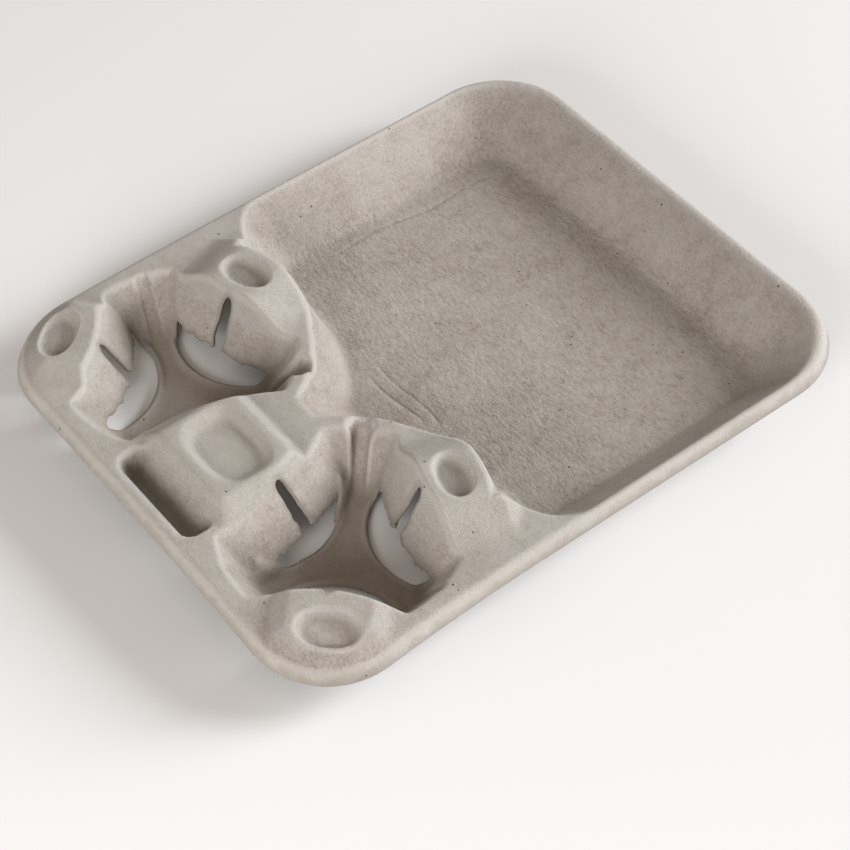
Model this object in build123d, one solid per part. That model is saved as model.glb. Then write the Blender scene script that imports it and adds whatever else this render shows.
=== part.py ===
from build123d import *
import os
from math import atan, cos, radians

os.makedirs("parts", exist_ok=True)

# overall outline, measured at the raw edge of the lip
length = 325.0
width = 265.0
cornerRadius = 44.0
wall = 2.0

# levels above the resting face, and how far the cutting solids overrun them
floorTop = wall
lipBottom = 23.0
crest = 30.0
under = -6.0
overrun = 4.0

# lip: leans in from the raw edge to the rounded crest
lipLean = 25.0
lipRounding = 2.6
crestInset = 3.5
domeLean = 31.0

# draft of the domes and flaps, of the socket walls, and sideways at the flaps
draft = 0.6
socketDraft = 0.72
flapSpread = 1.05
wallAcross = wall / cos(atan(draft))

# food compartment, outlines at the crest and at the floor
foodTop = (-31.0, 156.0, 126.0, 38.0)
foodFloor = (-15.5, 129.0, 103.0, 20.0)
foodFillet = 7.0

# bay of the food compartment, reaching in between the two socket walls
bayTop = (-68.0, -8.0, 63.0, 14.0)
bayFloor = (-40.0, -2.0, 62.0, 8.0)

# outer wall of each socket, facing the food compartment and the bay
ringTop = 63.0
ringFloor = 79.0
domeRingTop = 65.5

# cup sockets, mirrored about the long centre line
socketX = -94.5
socketY = 65.0
socketTurn = 15.0
socketFloorRadius = 40.5
socketFillet = 4.0

# domes round each socket: (angle, reach, half radial, half tangential, top)
cornerDome = (132.0, 57.0, 15.0, 20.0, 35.0)
foodDome = (17.0, 52.0, 13.5, 19.0, 41.0)
domeRounding = 4.5
dimpleDepth = 2.6
dimpleRim = 6.0
dimpleFlare = 1.2

# dome shared by both sockets, on the long centre line
sharedDomeX = -110.5
sharedDome = (38.0, 48.0, 15.0, 36.0)

# pocket between the sockets at the short end
pocketTop = (-150.0, -118.0, 33.0, 12.0)
pocketFloor = (-144.0, -131.0, 24.0, 5.0)
pocketBottom = 13.0
pocketFillet = 3.0

# crescent openings in the socket floor, under the three flaps
crescentReach = 50.7
crescentRadius = 37.0
flapEdge = 9.0
openingRadius = 42.0

# slit down the middle of each flap
slitWidth = 2.4
slitTop = 30.0
slitOuter = 39.0
slitInner = 16.0

# bead round each crescent
beadWidth = 2.6
beadHeight = 1.0


def cell_outline(spec, grow):
    x0, x1, half, radius = spec
    outline = RectangleRounded(x1 - x0 + 2 * grow, 2 * (half + grow), radius + grow)
    return Pos((x0 + x1) / 2, 0) * outline


def cell(top, bottom, bottomLevel, grow, rounding):
    """Draughted cell between the crest and its floor, grown outwards by a wall."""
    drop = wall if grow else 0.0
    rise = (crest + overrun - bottomLevel) / (crest - bottomLevel)
    above = tuple(b + (t - b) * rise for t, b in zip(top, bottom))
    fall = drop / (crest - bottomLevel)
    below = tuple(b - (t - b) * fall for t, b in zip(top, bottom))
    upper = Pos(0, 0, crest + overrun) * cell_outline(above, grow)
    lower = Pos(0, 0, bottomLevel - drop) * cell_outline(below, grow)
    body = loft([lower, upper])
    if not rounding:
        return body
    rim = body.edges().group_by(Axis.Z)[0]
    return fillet(rim, rounding + drop * 0.6)


def socket_cell(side, grow):
    drop = wall if grow else 0.0
    lower = socketFloorRadius + grow - socketDraft * drop
    rise = crest + overrun - floorTop + drop
    cone = Cone(lower, lower + socketDraft * rise, rise)
    cone = Pos(0, 0, rise / 2) * cone
    rim = cone.edges().group_by(Axis.Z)[0]
    cone = fillet(rim, socketFillet + drop * 0.6)
    return Pos(socketX, side * socketY, floorTop - drop) * cone


def ring_cone(side, topLevel, topRadius, shrink):
    """Solid inside the outer wall of a socket, up to one level."""
    rise = topLevel - floorTop
    slope = (ringFloor - topRadius) / rise
    foot = ringFloor - shrink + slope * (floorTop - under)
    cone = Cone(foot, topRadius - shrink, topLevel - under)
    return Pos(socketX, side * socketY, (topLevel + under) / 2) * cone


def bay_cell(grow):
    body = cell(bayTop, bayFloor, floorTop, grow, 0.0)
    above = (crest + 6.0 - floorTop) / (crest - floorTop)
    crown = ringFloor - (ringFloor - ringTop) * above
    for side in (-1, 1):
        body -= ring_cone(side, crest + 6.0, crown, grow)
    return body


def dome_at(side, spec, shrink):
    angle, reach, radial, tangential, top = spec
    drop = wall if shrink else 0.0
    fall = top - under
    crown = (radial - shrink + draft * drop, tangential - shrink + flapSpread * drop)
    upper = Ellipse(*crown)
    inward = radial + draft * fall - shrink
    sideways = tangential + flapSpread * fall - shrink
    lower = Ellipse(inward, sideways)
    body = loft([Pos(0, 0, under) * lower, Pos(0, 0, top - drop) * upper])
    rim = body.edges().group_by(Axis.Z)[-1]
    body = fillet(rim, domeRounding - drop * 0.6)
    turn = Rot(0, 0, side * angle)
    return Pos(socketX, side * socketY, 0) * turn * Pos(reach, 0, 0) * body


def dimple_at(side, spec, grow):
    angle, reach, radial, tangential, top = spec
    drop = wall if grow else 0.0
    bottom = top - dimpleDepth - drop
    across = radial - dimpleRim + grow
    along = tangential - dimpleRim + grow
    body = loft([
        Pos(0, 0, bottom) * Ellipse(across - dimpleFlare, along - dimpleFlare),
        Pos(0, 0, top + 1.0) * Ellipse(across + dimpleFlare, along + dimpleFlare),
    ])
    turn = Rot(0, 0, side * angle)
    return Pos(socketX, side * socketY, 0) * turn * Pos(reach, 0, 0) * body


def shared_dome(shrink):
    across, along, radius, top = sharedDome
    drop = wall if shrink else 0.0
    fall = top - under
    inner = draft * drop - shrink
    spread = draft * fall - shrink
    upper = RectangleRounded(across + 2 * inner, along + 2 * inner, radius + inner)
    lower = RectangleRounded(across + 2 * spread, along + 2 * spread, radius + spread)
    body = loft([Pos(0, 0, under) * lower, Pos(0, 0, top - drop) * upper])
    rim = body.edges().group_by(Axis.Z)[-1]
    return Pos(sharedDomeX, 0, 0) * fillet(rim, domeRounding - drop * 0.6)


def shared_dimple(grow):
    across, along, radius, top = sharedDome
    drop = wall if grow else 0.0
    inner = grow - dimpleRim
    low, high = [
        RectangleRounded(across + 2 * grown, along + 2 * grown, radius + grown)
        for grown in (inner - dimpleFlare, inner + dimpleFlare)
    ]
    bottom = top - dimpleDepth - drop
    body = loft([Pos(0, 0, bottom) * low, Pos(0, 0, top + 1.0) * high])
    return Pos(sharedDomeX, 0, 0) * body


def lip_block(shrink):
    drop = wall if shrink else 0.0
    rise = crest - drop - lipBottom
    outline = RectangleRounded(length - 2 * shrink, width - 2 * shrink, cornerRadius - shrink)
    cap = extrude(outline, amount=rise, taper=lipLean)
    rim = cap.edges().group_by(Axis.Z)[-1]
    cap = fillet(rim, lipRounding - drop * 0.5)
    skirt = Pos(0, 0, under - lipBottom) * extrude(outline, amount=lipBottom - under)
    return Pos(0, 0, lipBottom) * (skirt + cap)


def dome_envelope(shrink):
    """Keeps the domes and the feet of the flaps behind the crest of the lip."""
    inset = crestInset + shrink
    outline = RectangleRounded(length - 2 * inset, width - 2 * inset, cornerRadius - inset)
    upper = extrude(outline, amount=14.0, taper=domeLean)
    lower = Pos(0, 0, under - crest) * extrude(outline, amount=crest - under)
    return Pos(0, 0, crest) * (upper + lower)


def form(lower):
    """Solid below the tray's upper skin, or below its lower skin."""
    offset = wallAcross if lower else 0.0
    lipOffset = wall / cos(radians(lipLean)) if lower else 0.0
    body = lip_block(lipOffset)
    body -= cell(foodTop, foodFloor, floorTop, offset, foodFillet)
    body -= bay_cell(offset)
    body -= cell(pocketTop, pocketFloor, pocketBottom, offset, pocketFillet)
    for side in (-1, 1):
        body -= socket_cell(side, offset)
    envelope = dome_envelope(offset)
    for side in (-1, 1):
        ring = ring_cone(side, foodDome[4] + 1.0, domeRingTop, offset)
        body += dome_at(side, cornerDome, offset) & envelope
        body += dome_at(side, foodDome, offset) & envelope & ring
        for spec in (cornerDome, foodDome):
            body -= dimple_at(side, spec, offset)
    body += shared_dome(offset) & envelope
    body -= shared_dimple(offset)
    return body


def flap_angles(side):
    return [side * (base - socketTurn) for base in (30, 150, 270)]


def opening_cut(side, angle):
    """Gap between the socket floor and the free lower edge of one flap."""
    reach = Cylinder(crescentRadius, flapEdge + 1.0)
    reach = Rot(0, 0, angle) * Pos(crescentReach, 0, (flapEdge - 1.0) / 2) * reach
    limit = Pos(0, 0, (flapEdge - 1.0) / 2) * Cylinder(openingRadius, flapEdge + 1.0)
    return Pos(socketX, side * socketY, 0) * (reach & limit)


def slit_cut(side, angle):
    span = slitOuter - slitInner
    tall = slitTop + 1.0
    slot = Box(span, slitWidth, tall)
    slot = fillet(slot.edges().filter_by(Axis.Z), slitWidth * 0.45)
    slot = Pos((slitOuter + slitInner) / 2, 0, tall / 2 - 1.0) * slot
    return Pos(socketX, side * socketY, 0) * Rot(0, 0, angle) * slot


def bead_at(side, angle):
    """Raised edge of the socket floor along one crescent."""
    ring = Cylinder(crescentRadius + beadWidth, floorTop + beadHeight)
    ring -= Cylinder(crescentRadius, floorTop + beadHeight)
    ring = fillet(ring.edges().group_by(Axis.Z)[-1].sort_by(SortBy.LENGTH)[-1], beadHeight * 0.9)
    ring = Rot(0, 0, angle) * Pos(crescentReach, 0, (floorTop + beadHeight) / 2) * ring
    limit = Pos(0, 0, floorTop) * Cylinder(socketFloorRadius - 2.0, 2 * floorTop)
    return Pos(socketX, side * socketY, 0) * (ring & limit)


tray = form(False) - form(True)

# everything outside the lip's inner skin, below its raw edge, is trimmed away
skirtOutline = RectangleRounded(2 * length, 2 * width, cornerRadius)
lipOffset = wall / cos(radians(lipLean))
keepOutline = RectangleRounded(
    length - 2 * lipOffset, width - 2 * lipOffset, cornerRadius - lipOffset
)
trim = extrude(skirtOutline, amount=lipBottom - under) - extrude(
    keepOutline, amount=lipBottom - under
)
tray -= Pos(0, 0, under) * trim

for side in (-1, 1):
    for angle in flap_angles(side):
        tray += bead_at(side, angle)
    for angle in flap_angles(side):
        tray -= opening_cut(side, angle)
        tray -= slit_cut(side, angle)

tray = tray.solids().sort_by(SortBy.VOLUME)[-1]
box = tray.bounding_box()
print("box", box.min, box.max, "volume", round(tray.volume), "valid", tray.is_valid)
export_step(tray, "parts/carrier_tray.step")
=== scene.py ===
import math

import bpy
import numpy as np
from mathutils import Matrix, Vector


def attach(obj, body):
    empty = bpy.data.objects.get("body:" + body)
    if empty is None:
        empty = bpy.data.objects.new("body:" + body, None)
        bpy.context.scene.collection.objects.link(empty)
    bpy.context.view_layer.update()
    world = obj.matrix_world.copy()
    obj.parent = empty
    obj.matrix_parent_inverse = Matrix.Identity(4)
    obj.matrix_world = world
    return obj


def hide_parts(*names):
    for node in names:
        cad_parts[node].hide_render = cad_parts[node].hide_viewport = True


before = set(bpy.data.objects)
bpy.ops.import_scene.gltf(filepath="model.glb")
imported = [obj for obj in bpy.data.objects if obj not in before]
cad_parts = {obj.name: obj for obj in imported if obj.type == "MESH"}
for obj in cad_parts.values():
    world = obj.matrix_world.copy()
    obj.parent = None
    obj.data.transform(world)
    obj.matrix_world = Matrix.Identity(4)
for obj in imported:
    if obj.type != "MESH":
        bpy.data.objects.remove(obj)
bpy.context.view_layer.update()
print("frame loaded")

mm = 0.001


class Wire:
    # one socket of a node tree, used in plain arithmetic
    def __init__(self, tree, socket=None):
        self.tree = tree
        self.socket = socket

    def node(self, kind, settings=None, links=None, out=0):
        made = self.tree.nodes.new(kind)
        for name, value in (settings or {}).items():
            if name == "stops":
                fillRamp(made.color_ramp, value)
            else:
                setattr(made, name, value)
        for name, value in (links or {}).items():
            if isinstance(value, Wire):
                self.tree.links.new(value.socket, made.inputs[name])
            else:
                made.inputs[name].default_value = value
        return Wire(self.tree, made.outputs[out] if made.outputs else None)

    def maths(self, operation, *values):
        return self.node("ShaderNodeMath", {"operation": operation}, dict(enumerate(values)))

    def __add__(self, other):
        return self.maths("ADD", self, other)

    def __radd__(self, other):
        return self.maths("ADD", other, self)

    def __sub__(self, other):
        return self.maths("SUBTRACT", self, other)

    def __rsub__(self, other):
        return self.maths("SUBTRACT", other, self)

    def __mul__(self, other):
        return self.maths("MULTIPLY", self, other)

    def __rmul__(self, other):
        return self.maths("MULTIPLY", other, self)

    def __truediv__(self, other):
        return self.maths("DIVIDE", self, other)

    def __neg__(self):
        return self.maths("MULTIPLY", self, -1.0)


def fillRamp(ramp, stops):
    while len(ramp.elements) < len(stops):
        ramp.elements.new(1.0)
    for element, (place, colour) in zip(ramp.elements, stops):
        element.position = place
        element.color = colour


def smoothLeast(a, b, k):
    h = np.maximum(k - np.abs(a - b), 0) / k
    return np.minimum(a, b) - h ** 3 * k / 6


arrayMaths = {
    "SQRT": np.sqrt,
    "ABSOLUTE": np.abs,
    "EXPONENT": np.exp,
    "POWER": np.power,
    "MAXIMUM": np.maximum,
    "MINIMUM": np.minimum,
    "SMOOTH_MIN": smoothLeast,
    "SMOOTH_MAX": lambda a, b, k: -smoothLeast(-a, -b, k),
}


def calc(operation, *values):
    # the same rule drives the node tree and the cutting of the blank
    wire = next((v for v in values if isinstance(v, Wire)), None)
    return wire.maths(operation, *values) if wire else arrayMaths[operation](*values)


def softMin(a, b, k):
    return calc("SMOOTH_MIN", a, b, k)


def softMax(a, b, k):
    return calc("SMOOTH_MAX", a, b, k)


def ease(t):
    t = calc("MINIMUM", calc("MAXIMUM", t, 0.0), 1.0)
    return t * t * (3.0 - 2.0 * t)


def reach(x, y):
    return calc("SQRT", x * x + y * y)


def boxDistance(x, y, halfX, halfY, radius):
    qx = calc("ABSOLUTE", x) - (halfX - radius)
    qy = calc("ABSOLUTE", y) - (halfY - radius)
    outside = reach(calc("MAXIMUM", qx, 0.0), calc("MAXIMUM", qy, 0.0))
    return outside + calc("MINIMUM", calc("MAXIMUM", qx, qy), 0.0) - radius


# ---- the tray, in millimetres

tray = {
    "length": 325.0,
    "width": 265.0,
    "corner": 44.0,
    "wall": 2.0,
    "floor": 2.0,
    "crest": 30.0,
    "lipDrop": 7.0,
    "lipReach": 5.5,
    "middle": 2.0,
    "droop": (14.0, 3.5),
    "uneven": 0.22,
    "seed": 4.0,
}
food = {
    "east": 129.0,
    "west": -14.0,
    "side": 103.0,
    "corner": 17.0,
    "slope": 1.12,
    "westSteepness": 1.55,
    "rounding": 4.0,
    "bayWest": -40.0,
    "bayEast": 10.0,
    "baySide": 76.0,
    "baySideSlope": 1.5,
    "bayEastSlope": 3.0,
    "blend": 4.0,
    "ringFloor": 79.0,
    "ringSlope": 1.75,
    "domeSlope": 1.5,
    "domeShare": 1.25,
    "domeWidth": 36.0,
}
socket = {
    "centre": (-94.5, 65.0),
    "radius": 38.9,
    "armRadius": 40.0,
    "lean": 0.62,
    "beadHeight": 1.8,
    "beadWidth": 1.7,
    "crescentReach": 50.7,
    "crescent": 37.0,
    "flapEdge": 10.0,
    "beadEnd": 43.0,
    "beadFade": 5.0,
    "panelRounding": 5.0,
    "footRounding": 3.5,
    "behind": 10.0,
}
pocket = {
    "centre": -145.3,
    "half": (9.2, 30.0),
    "corner": 7.5,
    "east": -147.0,
    "floor": 14.0,
    "rounding": 5.0,
    "steep": 2.4,
    "gentle": 1.35,
}

# turn about the socket, where the panel is level with the edge of the flap, lean, and how far it bows
flaps = ((15.0, 24.5, 0.49, 0.010), (135.0, 25.0, 0.56, 0.012), (255.0, 20.0, 0.76, 0.006))
# turn, steepness, half width and flare of the grooves between the flaps
arms = ((75.0, 1.65, 3.0, 0.0), (195.0, 1.7, 3.0, 0.0), (315.0, 1.12, 3.0, 4.0))
armSides = {"slope": 6.0, "flareStart": 50.0, "flareRun": 8.0, "start": 20.0, "foot": 4.0, "rounding": 2.0}

domes = (
    {"turn": 17.0, "top": 41.0, "flat": 9.0, "spread": 30.0},
    {"turn": 132.0, "top": 36.5, "flat": 17.5, "spread": 12.0},
)
domeEdge = {
    "start": 15.0,
    "run": 20.0,
    "outer": 70.0,
    "outwardFall": 0.9,
    "sunk": 1.0,
    "lipClear": 5.0,
    "lipRise": 0.8,
    "shoulder": 3.0,
    "rounding": 2.0,
}
dimples = (
    {"turn": 17.0, "reach": 53.0, "radial": 8.6, "across": 13.6, "power": 2.2, "depth": 4.8},
    {"turn": 132.0, "reach": 58.0, "radial": 8.9, "across": 15.2, "power": 2.2, "depth": 4.8},
)
sharedDome = {
    "x": -111.0,
    "half": 20.5,
    "side": 25.5,
    "top": 36.5,
    "endSlope": 1.15,
    "sideSlope": 0.8,
    "corner": 6.0,
    "shoulder": 3.0,
    "rounding": 2.5,
}
sharedDimple = {"radial": 16.0, "across": 22.5, "power": 3.2, "depth": 4.6}
dimpleEdge = {"outer": 1.05, "width": 0.36}
join = 2.6  # rounding where the tops, the cells and the sockets meet


def turned(px, py, degrees):
    # along and across a direction that starts at the socket's centre
    turn = math.radians(degrees)
    along = px * math.cos(turn) + py * math.sin(turn)
    return along, py * math.cos(turn) - px * math.sin(turn)


def lipHeight(x, y):
    rim = boxDistance(x, y, tray["length"] / 2, tray["width"] / 2, tray["corner"])
    fall = calc("MAXIMUM", rim + tray["lipReach"], 0.0) / tray["lipReach"]
    return tray["crest"] - tray["lipDrop"] * fall * fall, rim


def topHeight(x, y, px, py):
    # the lip and the crest plane, with the domes standing on them
    lip, rim = lipHeight(x, y)
    envelope = lip + calc("MAXIMUM", -domeEdge["lipClear"] - rim, 0.0) * domeEdge["lipRise"]
    height = lip
    for dome in domes:
        along, beside = turned(px, py, dome["turn"])
        share = ease((dome["flat"] + dome["spread"] - calc("ABSOLUTE", beside)) / dome["spread"])
        share = share * ease((along - domeEdge["start"]) / domeEdge["run"])
        outward = calc("MAXIMUM", along - domeEdge["outer"], 0.0)
        mound = tray["crest"] - domeEdge["sunk"] + (dome["top"] + domeEdge["sunk"] - tray["crest"]) * share
        mound = mound - outward * domeEdge["outwardFall"]
        mound = softMin(mound, envelope, domeEdge["shoulder"])
        height = softMax(height, mound, domeEdge["rounding"])
    beside = (calc("ABSOLUTE", x - sharedDome["x"]) - sharedDome["half"]) * sharedDome["endSlope"]
    along = (calc("ABSOLUTE", y) - sharedDome["side"]) * sharedDome["sideSlope"]
    fall = softMax(beside, along, sharedDome["corner"])
    mound = softMin(sharedDome["top"] - fall, sharedDome["top"], sharedDome["shoulder"])
    return softMax(height, mound, sharedDome["rounding"])


def foodHeight(x, y, across, px, py):
    # the food compartment, and the bay that it sends in between the sockets
    corner = food["corner"]
    qx = softMax(x - food["east"], (food["west"] - x) * food["westSteepness"], food["blend"]) + corner
    qy = calc("ABSOLUTE", y) - food["side"] + corner
    cell = reach(calc("MAXIMUM", qx, 0.0), calc("MAXIMUM", qy, 0.0)) - corner
    cell = tray["floor"] + cell * food["slope"]
    bay = softMax(food["bayWest"] - x, (across - food["baySide"]) * food["baySideSlope"], 5.0)
    bay = softMax(bay, (x - food["bayEast"]) * food["bayEastSlope"], 3.0) + tray["floor"]
    beside = turned(px, py, domes[0]["turn"])[1]
    share = ease(food["domeShare"] - calc("ABSOLUTE", beside) / food["domeWidth"])
    slope = food["ringSlope"] + share * food["domeSlope"]
    ring = tray["floor"] + (food["ringFloor"] - reach(px, py)) * slope
    cell = softMax(softMin(cell, bay, food["blend"]), ring, food["blend"])
    return softMax(cell, tray["floor"], food["rounding"])


def socketHeight(px, py):
    floor = tray["floor"]
    wall = floor + (reach(px, py) - socket["radius"]) / socket["lean"]
    for turn, edge, lean, bow in flaps:
        along, beside = turned(px, py, turn)
        panel = socket["flapEdge"] + (along - edge) / lean - beside * beside * bow
        panel = panel - calc("MAXIMUM", -along, 0.0) * socket["behind"]
        wall = softMax(wall, panel, socket["panelRounding"])
    for turn, steepness, half, flare in arms:
        along, beside = turned(px, py, turn)
        groove = (along - socket["armRadius"]) * steepness + floor
        steep = armSides["slope"] - flare * ease((along - armSides["flareStart"]) / armSides["flareRun"])
        groove = groove + calc("MAXIMUM", calc("ABSOLUTE", beside) - half, 0.0) * steep
        groove = groove + calc("MAXIMUM", armSides["start"] - along, 0.0) * socket["behind"]
        groove = softMax(groove, floor, armSides["foot"])
        wall = softMin(wall, groove, armSides["rounding"])
    return softMax(wall, floor, socket["footRounding"])


def pocketHeight(x, y):
    halfX, halfY = pocket["half"]
    qx = calc("ABSOLUTE", x - pocket["centre"]) - halfX + pocket["corner"]
    qy = calc("ABSOLUTE", y) - halfY + pocket["corner"]
    outside = reach(calc("MAXIMUM", qx, 0.0), calc("MAXIMUM", qy, 0.0))
    sides = outside + calc("MINIMUM", softMax(qx, qy, 6.0), 0.0) - pocket["corner"]
    east = pocket["floor"] + (x - pocket["east"]) * pocket["gentle"]
    sides = softMax(tray["crest"] + sides * pocket["steep"], east, 7.0)
    return softMax(sides, pocket["floor"], pocket["rounding"])


def dimpleDepth(u, v, dimple):
    power = dimple["power"]
    spread = calc("POWER", calc("ABSOLUTE", u) / dimple["radial"], power)
    spread = spread + calc("POWER", calc("ABSOLUTE", v) / dimple["across"], power)
    spread = calc("POWER", spread, 1.0 / power)
    return dimple["depth"] * ease((dimpleEdge["outer"] - spread) / dimpleEdge["width"])


def trayHeight(x, y):
    across = calc("SQRT", y * y + tray["middle"] ** 2)  # both halves are alike
    px, py = x - socket["centre"][0], across - socket["centre"][1]
    height = softMin(topHeight(x, y, px, py), foodHeight(x, y, across, px, py), join)
    height = softMin(height, pocketHeight(x, y), join)
    height = softMin(height, socketHeight(px, py), join)
    for dimple in dimples:
        along, beside = turned(px, py, dimple["turn"])
        height = height - dimpleDepth(along - dimple["reach"], beside, dimple)
    height = height - dimpleDepth(x - sharedDome["x"], y, sharedDimple)

    bead = 0.0
    for turn, *_ in flaps:
        along, beside = turned(px, py, turn)
        off = reach(along - socket["crescentReach"], beside) - socket["crescent"]
        off = off / socket["beadWidth"] - 1.0
        bead = calc("MAXIMUM", calc("EXPONENT", -1.0 * (off * off)), bead)
    fade = ease((socket["beadEnd"] - reach(px, py)) / socket["beadFade"])
    height = height + socket["beadHeight"] * bead * fade

    west = calc("MAXIMUM", x / (-0.5 * tray["length"]), 0.0)
    side = y / (0.5 * tray["width"])
    near = calc("MAXIMUM", -1.0 * side, 0.0)
    far = calc("MAXIMUM", side, 0.0)
    pull = tray["droop"][0] * near * near * near + tray["droop"][1] * far * far * far
    return height - west * west * west * pull


def ripple(x, y, scale, seed):
    # repeatable roughness for torn edges
    total = np.zeros_like(x)
    rng = np.random.default_rng(seed)
    for k in range(7):
        angle, phase = rng.uniform(0, 2 * math.pi, 2)
        rate = 2 * math.pi / (scale * rng.uniform(0.5, 1.6))
        total += np.sin((x * math.cos(angle) + y * math.sin(angle)) * rate + phase)
    return total / 3.5


cuts = {
    "slitTop": 37.5,
    "slitHalf": 2.9,
    "slitFoot": 16.0,
    "longTear": 4.0,
    "torn": 0.8,
    "tear": 0.5,
    "reach": 42.5,
    "coarse": 7.0,
    "fine": 2.6,
    "frayScale": 5.0,
    "frayStart": 5.0,
    "frayRun": 6.0,
    "frayWidth": 0.7,
    "frayMore": 0.5,
}


def blankEdge(x, y):
    # below zero where there is pulp, above zero where it is cut or torn away
    edge = boxDistance(x, y, tray["length"] / 2, tray["width"] / 2, tray["corner"])
    height = trayHeight(x, y)
    sx, sy = socket["centre"]
    for side in (-1, 1):
        px, py = x - sx, y - side * sy
        radius = reach(px, py)
        for number, flap in enumerate(flaps):
            along, beside = turned(px, py, side * flap[0])
            seed = 10 * number + side + 3
            gap = reach(along - socket["crescentReach"], beside) - socket["crescent"]
            torn = ripple(x, y, cuts["coarse"], seed) + 0.5 * ripple(x, y, cuts["fine"], seed + 7)
            flapSide = (height - socket["flapEdge"]) * flap[2] + torn * cuts["tear"]
            gap = np.maximum(np.maximum(gap, flapSide), radius - cuts["reach"])
            top = cuts["slitTop"]
            if side < 0 and number == 1:
                top = top + cuts["longTear"]  # one flap is torn further up
            low = np.clip((top - cuts["frayStart"] - along) / cuts["frayRun"], 0, 1)
            middle = beside + low * ripple(x, y, cuts["frayScale"], seed + 50) * cuts["torn"]
            rounded = reach(np.maximum(along - top + cuts["slitHalf"], 0), middle)
            fray = cuts["frayWidth"] + cuts["frayMore"] * ripple(x, y, cuts["frayScale"], seed + 90)
            slit = rounded - cuts["slitHalf"] - low * fray
            slit = np.where(along > cuts["slitFoot"], slit, 9.0)
            edge = np.maximum(edge, -np.minimum(gap, slit))
    return edge


def spacedLine(stops):
    # (end, step) pairs make one line of grid positions
    line = [stops[0][0]]
    for (start, _), (end, step) in zip(stops, stops[1:]):
        count = max(1, round((end - start) / step))
        line += [start + (end - start) * (i + 1) / count for i in range(count)]
    return np.array(line)


# where each stretch of the grid ends and how far apart its lines are, in millimetres
grid = {
    "x": ((-153, 0.95), (-141, 1.4), (-52, 0.92), (-16, 1.5), (154, 3.0)),
    "endX": 1.2,
    "y": ((22, 1.45), (106, 1.02), (124, 1.6)),
    "endY": 1.1,
    "slack": 0.02,
    "probe": 0.05,
    "stepMost": 0.6,
    "ridgeReach": 2.5,
}


def blankMesh():
    halfX, halfY = tray["length"] / 2, tray["width"] / 2
    xs = spacedLine([(-halfX, 0), *grid["x"], (halfX, grid["endX"])])
    ys = spacedLine([(0, 0), *grid["y"], (halfY, grid["endY"])])
    ys = np.concatenate([-ys[:0:-1], ys])
    gx, gy = np.meshgrid(xs, ys, indexing="ij")
    px, py = gx.ravel(), gy.ravel()
    rows = len(ys)
    i, j = np.meshgrid(np.arange(len(xs) - 1), np.arange(rows - 1), indexing="ij")
    a = (i * rows + j).ravel()
    faces = np.stack([a, a + rows, a + rows + 1, a + 1], axis=1)
    inside = blankEdge(px[faces].mean(axis=1), py[faces].mean(axis=1)) < 0
    kept, gone = faces[inside], faces[~inside]
    corners = np.unique(kept)
    outside = corners[blankEdge(px[corners], py[corners]) > grid["slack"]]
    border = np.union1d(np.intersect1d(kept, gone), outside)
    bx, by = px[border].copy(), py[border].copy()
    probe = grid["probe"]
    for _ in range(4):
        value = blankEdge(bx, by)
        gradX = (blankEdge(bx + probe, by) - blankEdge(bx - probe, by)) / (2 * probe)
        gradY = (blankEdge(bx, by + probe) - blankEdge(bx, by - probe)) / (2 * probe)
        size = np.maximum(gradX ** 2 + gradY ** 2, 0.25)
        step = np.clip(value / size, -grid["stepMost"], grid["stepMost"])
        bx -= step * gradX
        by -= step * gradY
    roomX = np.gradient(xs)[border // rows]
    roomY = np.gradient(ys)[border % rows]
    stray = np.hypot(bx - px[border], by - py[border]) > np.maximum(roomX, roomY) * 0.95
    bx[stray], by[stray] = px[border][stray], py[border][stray]
    px[border], py[border] = bx, by
    used, flat = np.unique(kept, return_inverse=True)
    kept = flat.reshape(kept.shape)
    places = np.stack([px[used] * mm, py[used] * mm, np.zeros(len(used))], axis=1)
    mesh = bpy.data.meshes.new("trayBlank")
    mesh.from_pydata(places.tolist(), [], kept.tolist())
    ux, uy, far = px[used], py[used], grid["ridgeReach"]
    around = trayHeight(ux - far, uy) + trayHeight(ux + far, uy)
    around = around + trayHeight(ux, uy - far) + trayHeight(ux, uy + far)
    marks = {"ridge": trayHeight(ux, uy) - around / 4.0, "edgeDistance": -blankEdge(ux, uy)}
    for name, values in marks.items():
        attribute = mesh.attributes.new(name, "FLOAT", "POINT")
        attribute.data.foreach_set("value", values.astype(np.float32))
    mesh.update()
    print("blank cut,", len(kept), "faces")
    return mesh


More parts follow.
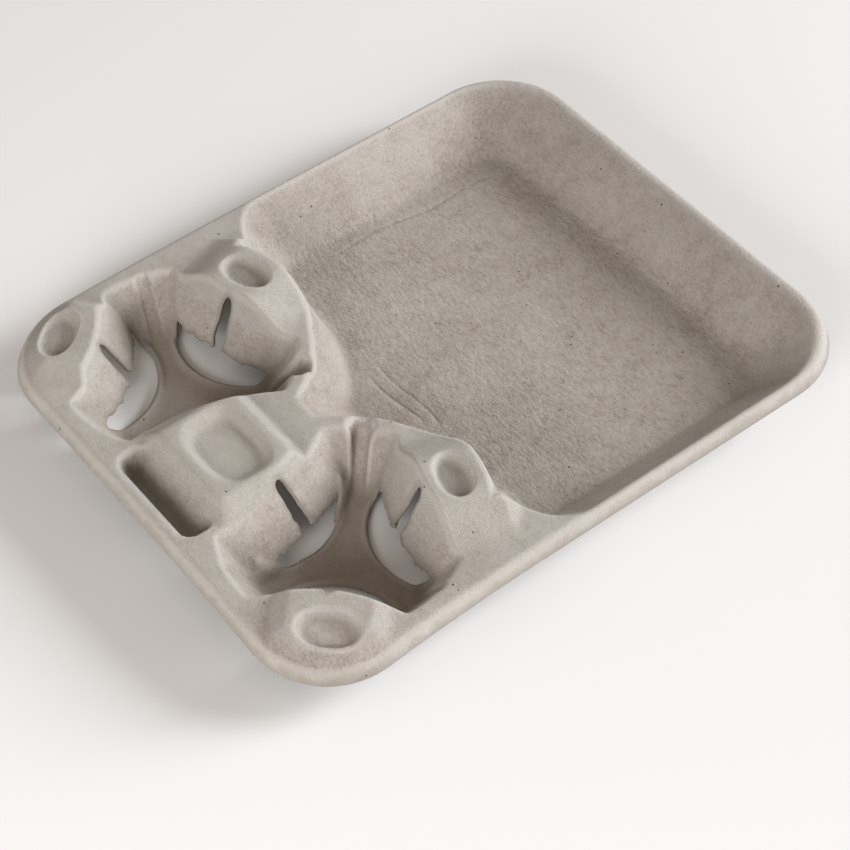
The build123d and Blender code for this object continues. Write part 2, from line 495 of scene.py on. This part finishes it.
def mouldTree(material):
    tree = bpy.data.node_groups.new("mouldTray", "GeometryNodeTree")
    face = tree.interface
    face.new_socket("Blank", in_out="INPUT", socket_type="NodeSocketGeometry")
    face.new_socket("Unevenness", in_out="INPUT", socket_type="NodeSocketFloat")
    face.new_socket("Seed", in_out="INPUT", socket_type="NodeSocketFloat")
    face.new_socket("Pulp", in_out="INPUT", socket_type="NodeSocketMaterial")
    face.new_socket("Tray", in_out="OUTPUT", socket_type="NodeSocketGeometry")
    start = tree.nodes.new("NodeGroupInput")
    blank, uneven, seed, pulp = [Wire(tree, socket) for socket in start.outputs[:4]]
    wire = Wire(tree)
    place = wire.node("GeometryNodeInputPosition")
    parts = wire.node("ShaderNodeSeparateXYZ", None, {0: place}).socket.node
    x, y = [Wire(tree, parts.outputs[n]) / mm for n in (0, 1)]
    height = trayHeight(x, y)
    shift = wire.node("ShaderNodeCombineXYZ", None, {"X": 0.0, "Y": 0.0, "Z": seed})
    spot = wire.node("ShaderNodeVectorMath", {"operation": "ADD"}, {0: place, 1: shift})
    for scale, share in ((22.0, 1.0), (90.0, 0.35)):
        bump = wire.node("ShaderNodeTexNoise", None, {"Vector": spot, "Scale": scale, "Detail": 2.0})
        height = height + (bump - 0.5) * 2.0 * share * uneven
    lift = wire.node("ShaderNodeCombineXYZ", None, {"X": 0.0, "Y": 0.0, "Z": height * mm})
    formed = wire.node("GeometryNodeSetPosition", None, {"Geometry": blank, "Offset": lift})
    formed = wire.node("GeometryNodeSetShadeSmooth", None, {"Geometry": formed})
    formed = wire.node("GeometryNodeRealizeInstances", None, {"Geometry": formed})
    formed = wire.node("GeometryNodeSetMaterial", None, {"Geometry": formed, "Material": pulp})
    end = tree.nodes.new("NodeGroupOutput")
    tree.links.new(formed.socket, end.inputs[0])
    print("mould tree,", len(tree.nodes), "nodes")
    return tree


def setInputs(modifier, values):
    for item in modifier.node_group.interface.items_tree:
        if item.in_out == "INPUT" and item.name in values:
            modifier[item.identifier] = values[item.name]


def bakeDown(worker, name):
    # the evaluated result as a plain mesh, with nothing live left on it
    graph = bpy.context.evaluated_depsgraph_get()
    mesh = bpy.data.meshes.new_from_object(worker.evaluated_get(graph), depsgraph=graph)
    mesh.name = name
    done = bpy.data.objects.new(name, mesh)
    bpy.context.collection.objects.link(done)
    bpy.data.objects.remove(worker)
    return done


def makeTray(material):
    worker = bpy.data.objects.new("trayWorker", blankMesh())
    bpy.context.collection.objects.link(worker)
    form = worker.modifiers.new("form", "NODES")
    form.node_group = mouldTree(material)
    setInputs(form, {"Unevenness": tray["uneven"], "Seed": tray["seed"], "Pulp": material})
    skin = worker.modifiers.new("skin", "SOLIDIFY")
    skin.thickness = tray["wall"] * mm
    skin.offset = -1.0
    done = bakeDown(worker, "trayShell")
    for vertex in done.data.vertices:
        vertex.co.z = max(vertex.co.z, 0.0)  # flat where it rests
    for polygon in done.data.polygons:
        polygon.use_smooth = True
    print("tray formed,", sum(len(p.vertices) - 2 for p in done.data.polygons), "triangles")
    return done


# ---- pulp

pulp = {
    "base": (0.365, 0.330, 0.295, 1.0),
    "pale": (0.475, 0.440, 0.405, 1.0),
    # dark is the pulp's dark tone and also the colour of the painted shade
    "dark": (0.235, 0.198, 0.160, 1.0),
    "paintedRidgeLight": (0.52, 0.485, 0.45, 1.0),
    "paintedTopLight": (0.50, 0.475, 0.45, 1.0),
    "fleckDark": (0.10, 0.085, 0.07, 1.0),
    "fleckRed": (0.36, 0.15, 0.11, 1.0),
    "roughness": 0.93,
    "sheen": 0.15,
    "meshPitch": 1.25,
    "meshTurn": 0.6,
    "feltTurn": 0.5,
    "feltStretch": 0.42,
    "specular": 0.25,
    "sheenRoughness": 0.6,
    "clouds": (24.0, 3.0, 0.55),
    "mottle": (120.0, 3.0, 0.6),
    "grain": (820.0, 3.0, 0.75),
    "felt": (520.0, 4.0, 0.62),
    "coarse": (170.0, 3.0, 0.55),
    "paintedRidgeLightShare": 0.55,
    "hollowShadeShare": 0.35,
    "socketShadeShare": 0.5,
    "paintedTopLightShare": 0.3,
    "tornAndShadedEdgeShare": 0.5,
    "upperFrom": (26.0, 30.5),
    "floorUpTo": (3.0, 8.0),
    "floorWest": (-30.0, -10.0),
    "socketShadeUpTo": (3.0, 15.0),
    "socketShadeEast": (-42.0, -28.0),
    "darkFlecks": (260.0, 0.15, 0.030),
    "redFlecks": (160.0, 0.12, 0.008),
}
# start, direction and length of the creases in the floor of the food compartment, in millimetres
creases = ((-19.0, 20.0, -88.0, 46.0), (-11.0, 26.0, -91.0, 56.0), (2.0, 96.5, -4.0, 118.0))


def noise(wire, spot, scale, detail=3.0, roughness=0.6):
    links = {"Vector": spot, "Scale": scale, "Detail": detail, "Roughness": roughness}
    return wire.node("ShaderNodeTexNoise", None, links)


def smoothStep(wire, value, low, high):
    links = {"Value": value, "From Min": low, "From Max": high}
    return wire.node("ShaderNodeMapRange", {"interpolation_type": "SMOOTHSTEP"}, links)


def mixColour(wire, share, a, b):
    return wire.node("ShaderNodeMix", {"data_type": "RGBA"}, {0: share, 6: a, 7: b}, 2)


def flecks(wire, spot, scale, size, amount):
    # sparse specks: the middles of a few of the cells
    cell = wire.node("ShaderNodeTexVoronoi", None, {"Vector": spot, "Scale": scale})
    shade = Wire(wire.tree, cell.socket.node.outputs["Color"])
    chosen = wire.node("ShaderNodeSeparateColor", None, {0: shade})
    chosen = chosen.maths("LESS_THAN", chosen, amount)
    return chosen * cell.maths("LESS_THAN", cell, size)


def creaseMark(wire, x, y, crease):
    startX, startY, angle, length = crease
    angle = math.radians(angle)
    along = (x - startX) * math.cos(angle) + (y - startY) * math.sin(angle)
    beside = (y - startY) * math.cos(angle) - (x - startX) * math.sin(angle)
    beside = beside + along.maths("SINE", along * 0.11) * 1.3
    line = beside.maths("EXPONENT", -1.0 * (beside * beside) / 1.1)
    ends = smoothStep(wire, along, 0.0, 9.0) * smoothStep(wire, length - along, 0.0, 9.0)
    return line * ends


def pulpMaterial():
    material = bpy.data.materials.new("mouldedPulp")
    material.use_nodes = True
    tree = material.node_tree
    tree.nodes.clear()
    wire = Wire(tree)
    spot = wire.node("ShaderNodeTexCoord", None, None, "Object")
    parts = wire.node("ShaderNodeSeparateXYZ", None, {0: spot}).socket.node
    x, y, z = [Wire(tree, parts.outputs[n]) / mm for n in range(3)]
    ridge = wire.node("ShaderNodeAttribute", {"attribute_name": "ridge"}, None, "Fac")
    edge = wire.node("ShaderNodeAttribute", {"attribute_name": "edgeDistance"}, None, "Fac")

    upper = smoothStep(wire, z, *pulp["upperFrom"])
    onFloor = (1 - smoothStep(wire, z, *pulp["floorUpTo"])) * smoothStep(wire, x, *pulp["floorWest"])

    clouds = noise(wire, spot, *pulp["clouds"])
    mottle = noise(wire, spot, *pulp["mottle"])
    grain = noise(wire, spot, *pulp["grain"])
    drawn = wire.node("ShaderNodeMapping", None, {
        "Vector": spot, "Rotation": (0.0, 0.0, pulp["feltTurn"]), "Scale": (1.0, pulp["feltStretch"], 1.0),
    })
    felt = noise(wire, drawn, *pulp["felt"])
    coarse = noise(wire, drawn, *pulp["coarse"])

    # print of the forming mesh on the upper faces
    turn, pitch = pulp["meshTurn"], 2 * math.pi / pulp["meshPitch"]
    wave = noise(wire, spot, 60.0, 1.0) * 1.6
    weftX = (x * math.cos(turn) - y * math.sin(turn)) * pitch + wave
    weftY = (x * math.sin(turn) + y * math.cos(turn)) * pitch + wave
    weave = weftX.maths("SINE", weftX) * weftY.maths("SINE", weftY)

    crease = 0.0
    for one in creases:
        crease = creaseMark(wire, x, y, one) + crease

    tone = 0.5 + (clouds - 0.5) * 0.45 + (mottle - 0.5) * 0.35 + (grain - 0.5) * 0.75
    tone = tone + (felt - 0.5) * (0.35 + 0.3 * onFloor)
    tone = tone + weave * upper * 0.10 - crease * 0.05
    stops = [(0.22, pulp["dark"]), (0.5, pulp["base"]), (0.82, pulp["pale"])]
    colour = wire.node("ShaderNodeValToRGB", {"stops": stops}, {"Fac": tone})
    # painted highlight: ridges and convex edges are lightened toward a pale colour, broken up by the grain
    ridgeHighlight = smoothStep(wire, ridge + (grain - 0.5) * 0.5, 0.12, 0.75)
    colour = mixColour(wire, ridgeHighlight * pulp["paintedRidgeLightShare"], colour, pulp["paintedRidgeLight"])
    # painted shade: hollows and dimples are darkened
    hollowShade = smoothStep(wire, -ridge, 0.1, 1.0)
    colour = mixColour(wire, hollowShade * pulp["hollowShadeShare"], colour, pulp["dark"])
    # painted shade: the low parts of the sockets are darkened
    low = 1 - smoothStep(wire, z, *pulp["socketShadeUpTo"])
    socketShade = low * (1 - smoothStep(wire, x, *pulp["socketShadeEast"]))
    colour = mixColour(wire, socketShade * pulp["socketShadeShare"], colour, pulp["dark"])
    # painted highlight: the upper faces are paler and greyer
    colour = mixColour(wire, upper * pulp["paintedTopLightShare"], colour, pulp["paintedTopLight"])
    # darker near cut and torn edges: partly the darker torn fibre, partly painted shade along the raw
    # edges
    torn = 1 - smoothStep(wire, edge + (mottle - 0.5) * 3.0, 0.2, 2.6)
    colour = mixColour(wire, torn * pulp["tornAndShadedEdgeShare"], colour, pulp["dark"])
    colour = mixColour(wire, flecks(wire, spot, *pulp["darkFlecks"]), colour, pulp["fleckDark"])
    colour = mixColour(wire, flecks(wire, spot, *pulp["redFlecks"]), colour, pulp["fleckRed"])

    relief = grain * 0.36 + felt * (0.22 + 0.30 * onFloor) + coarse * (0.2 + 0.30 * onFloor)
    relief = relief + weave * upper * 0.10 - crease * 0.35
    bump = wire.node("ShaderNodeBump", None, {"Height": relief, "Strength": 1.0, "Distance": mm})
    shader = wire.node("ShaderNodeBsdfPrincipled", None, {
        "Base Color": colour, "Normal": bump, "Roughness": pulp["roughness"],
        "Specular IOR Level": pulp["specular"], "Sheen Weight": pulp["sheen"],
        "Sheen Roughness": pulp["sheenRoughness"],
    })
    wire.node("ShaderNodeOutputMaterial", None, {"Surface": shader})
    print("pulp material,", len(tree.nodes), "nodes")
    return material


material = pulpMaterial()
shell = makeTray(material)
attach(shell, "root")
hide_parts("carrier_tray")
print("tray done")


# ---- stage, light and camera

studio = {
    "azimuth": -35.93,
    "elevation": 49.32,
    "roll": -2.29,
    "distance": 1.12625,
    "aim": (-0.02768, -0.03789, 0.023),
    "lens": 103.61,
    "sensor": 36.0,
    "floorHalf": 2.4,
    "floorLevel": -0.0003,
    "floorColour": (0.80, 0.80, 0.80, 1.0),
    "floorRoughness": 0.9,
    "glow": (1.0, 0.85, 0.69, 1.0),
    "glowStrength": 0.27,
    "backdrop": (0.84, 0.83, 0.82, 1.0),
}
white = (1.0, 1.0, 1.0)
cool = (0.97, 0.99, 1.03)
lamps = (
    {"name": "keyLight", "place": (2.90, -1.24, 1.30), "size": 1.4, "power": 168.0, "colour": cool},
    {"name": "sideFill", "place": (-1.24, -0.70, 0.60), "size": 0.7, "power": 17.0, "colour": white},
    {"name": "topFill", "place": (-0.3, 0.1, 1.6), "size": 1.2, "power": 1.5, "colour": white},
)


def makeStage():
    mesh = bpy.data.meshes.new("studioFloor")
    half, level = studio["floorHalf"], studio["floorLevel"]
    corners = [(-half, -half, level), (half, -half, level), (half, half, level), (-half, half, level)]
    mesh.from_pydata(corners, [], [(0, 1, 2, 3)])
    floor = bpy.data.objects.new("studioFloor", mesh)
    bpy.context.collection.objects.link(floor)
    paint = bpy.data.materials.new("paleFloor")
    paint.use_nodes = True
    shader = paint.node_tree.nodes["Principled BSDF"]
    shader.inputs["Base Color"].default_value = studio["floorColour"]
    shader.inputs["Roughness"].default_value = studio["floorRoughness"]
    mesh.materials.append(paint)
    print("floor laid")


def makeSky():
    # a soft warm glow lights the tray, and the camera sees a pale backdrop
    world = bpy.data.worlds.new("studio")
    bpy.context.scene.world = world
    world.use_nodes = True
    world.node_tree.nodes.clear()
    wire = Wire(world.node_tree)
    seen = wire.node("ShaderNodeLightPath", None, None, "Is Camera Ray")
    glowing = {"Color": studio["glow"], "Strength": studio["glowStrength"]}
    glow = wire.node("ShaderNodeBackground", None, glowing)
    pale = wire.node("ShaderNodeBackground", None, {"Color": studio["backdrop"], "Strength": 1.0})
    sky = wire.node("ShaderNodeMixShader", None, {0: seen, 1: glow, 2: pale})
    wire.node("ShaderNodeOutputWorld", None, {"Surface": sky})
    bpy.context.scene.view_settings.view_transform = "Standard"


def softLight(lamp):
    light = bpy.data.lights.new(lamp["name"], "AREA")
    light.size = lamp["size"]
    light.energy = lamp["power"]
    light.color = lamp["colour"]
    holder = bpy.data.objects.new(lamp["name"], light)
    holder.location = lamp["place"]
    holder.rotation_euler = (-Vector(lamp["place"])).to_track_quat("-Z", "Y").to_euler()
    bpy.context.collection.objects.link(holder)


def makeCamera():
    a, e, r = [math.radians(studio[k]) for k in ("azimuth", "elevation", "roll")]
    back = Vector((math.sin(a) * math.cos(e), -math.cos(a) * math.cos(e), math.sin(e)))
    right = Vector((0, 0, 1)).cross(back).normalized()
    up = back.cross(right)
    turnedRight = math.cos(r) * right + math.sin(r) * up
    turnedUp = math.cos(r) * up - math.sin(r) * right
    camera = bpy.data.cameras.new("camera")
    camera.lens = studio["lens"]
    camera.sensor_width = studio["sensor"]
    camera.clip_start = 0.01
    holder = bpy.data.objects.new("camera", camera)
    spot = Vector(studio["aim"]) + back * studio["distance"]
    axes = Matrix((turnedRight, turnedUp, back)).transposed().to_4x4()
    holder.matrix_world = Matrix.Translation(spot) @ axes
    bpy.context.collection.objects.link(holder)
    bpy.context.scene.camera = holder


makeStage()
makeSky()
for lamp in lamps:
    softLight(lamp)
makeCamera()
print("studio ready")
